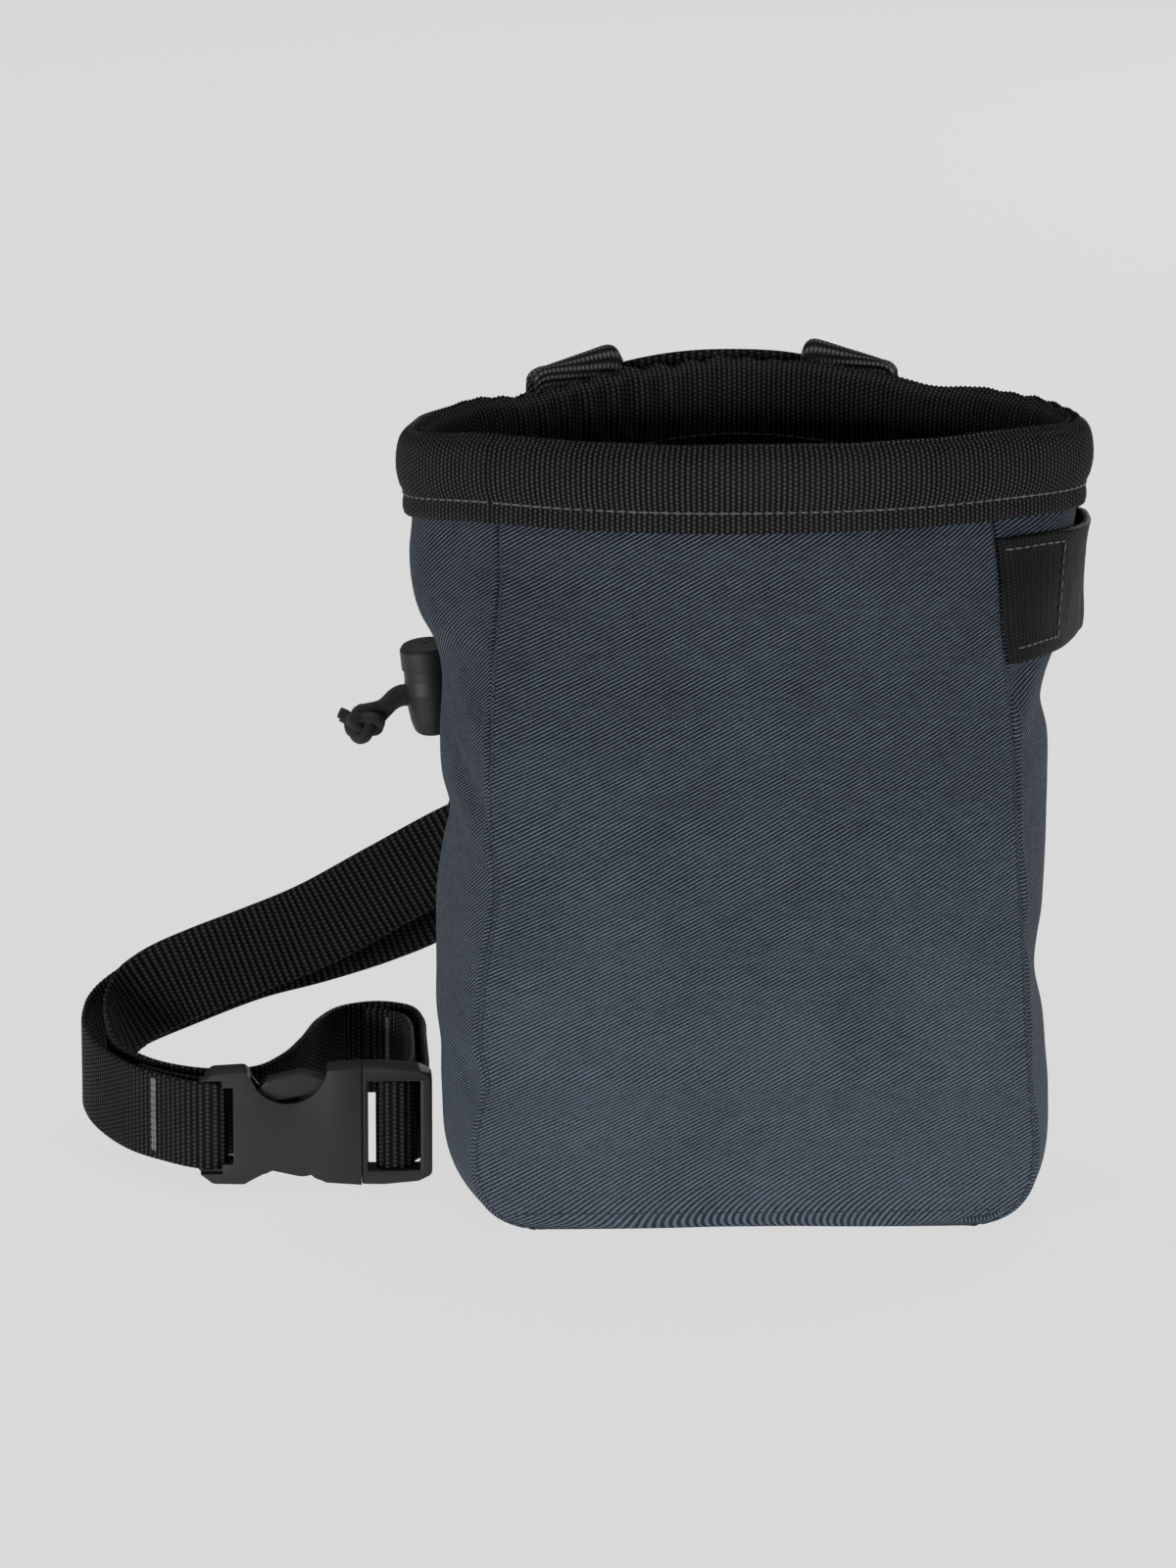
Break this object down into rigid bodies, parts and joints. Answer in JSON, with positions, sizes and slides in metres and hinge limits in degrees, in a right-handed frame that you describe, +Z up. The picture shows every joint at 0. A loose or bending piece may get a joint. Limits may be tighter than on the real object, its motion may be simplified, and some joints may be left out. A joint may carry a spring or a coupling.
{
  "type": "climbing chalk bag",
  "caption": "Open chalk bag of twill cloth with a padded mouth band, brush loop, drawcord with cord lock, and a webbing waist belt with a side-release buckle.",
  "frame": {"origin": "centre of the flat bottom the bag stands on", "axes": "+Z up through the mouth, -Y towards the front panel, -X towards the side with the cord lock and the buckle"},
  "size_m": [0.2258, 0.1308, 0.1833],
  "materials": {
    "twill": "matte twill",
    "lining_cloth": "matte",
    "webbing": "ribbed",
    "buckle_plastic": "satin",
    "lock_plastic": "satin",
    "cord": "braided"
  },
  "bodies": {
    "bag": {"front_panel": "twill", "gusset": "twill", "back_panel": "twill", "lining": "lining_cloth", "rim_band": "webbing", "belt_loop_left": "webbing", "belt_loop_right": "webbing", "brush_loop": "webbing", "belt": "webbing", "buckle_female": "buckle_plastic", "buckle_male": "buckle_plastic", "cord_lock_barrel": "lock_plastic", "drawcord_1": "cord", "drawcord_2": "cord", "cord_knot": "cord"},
    "plunger": {"cord_lock_plunger": "lock_plastic"}
  },
  "joints": [
    {"name": "plunger_slide", "type": "slide", "parent": "bag", "child": "plunger", "axis": [-0.0747, -0.1168, 0.9903], "range_m": [-0.002, 0], "stiffness_N_per_m": 250, "springref_m": 0.003}
  ]
}
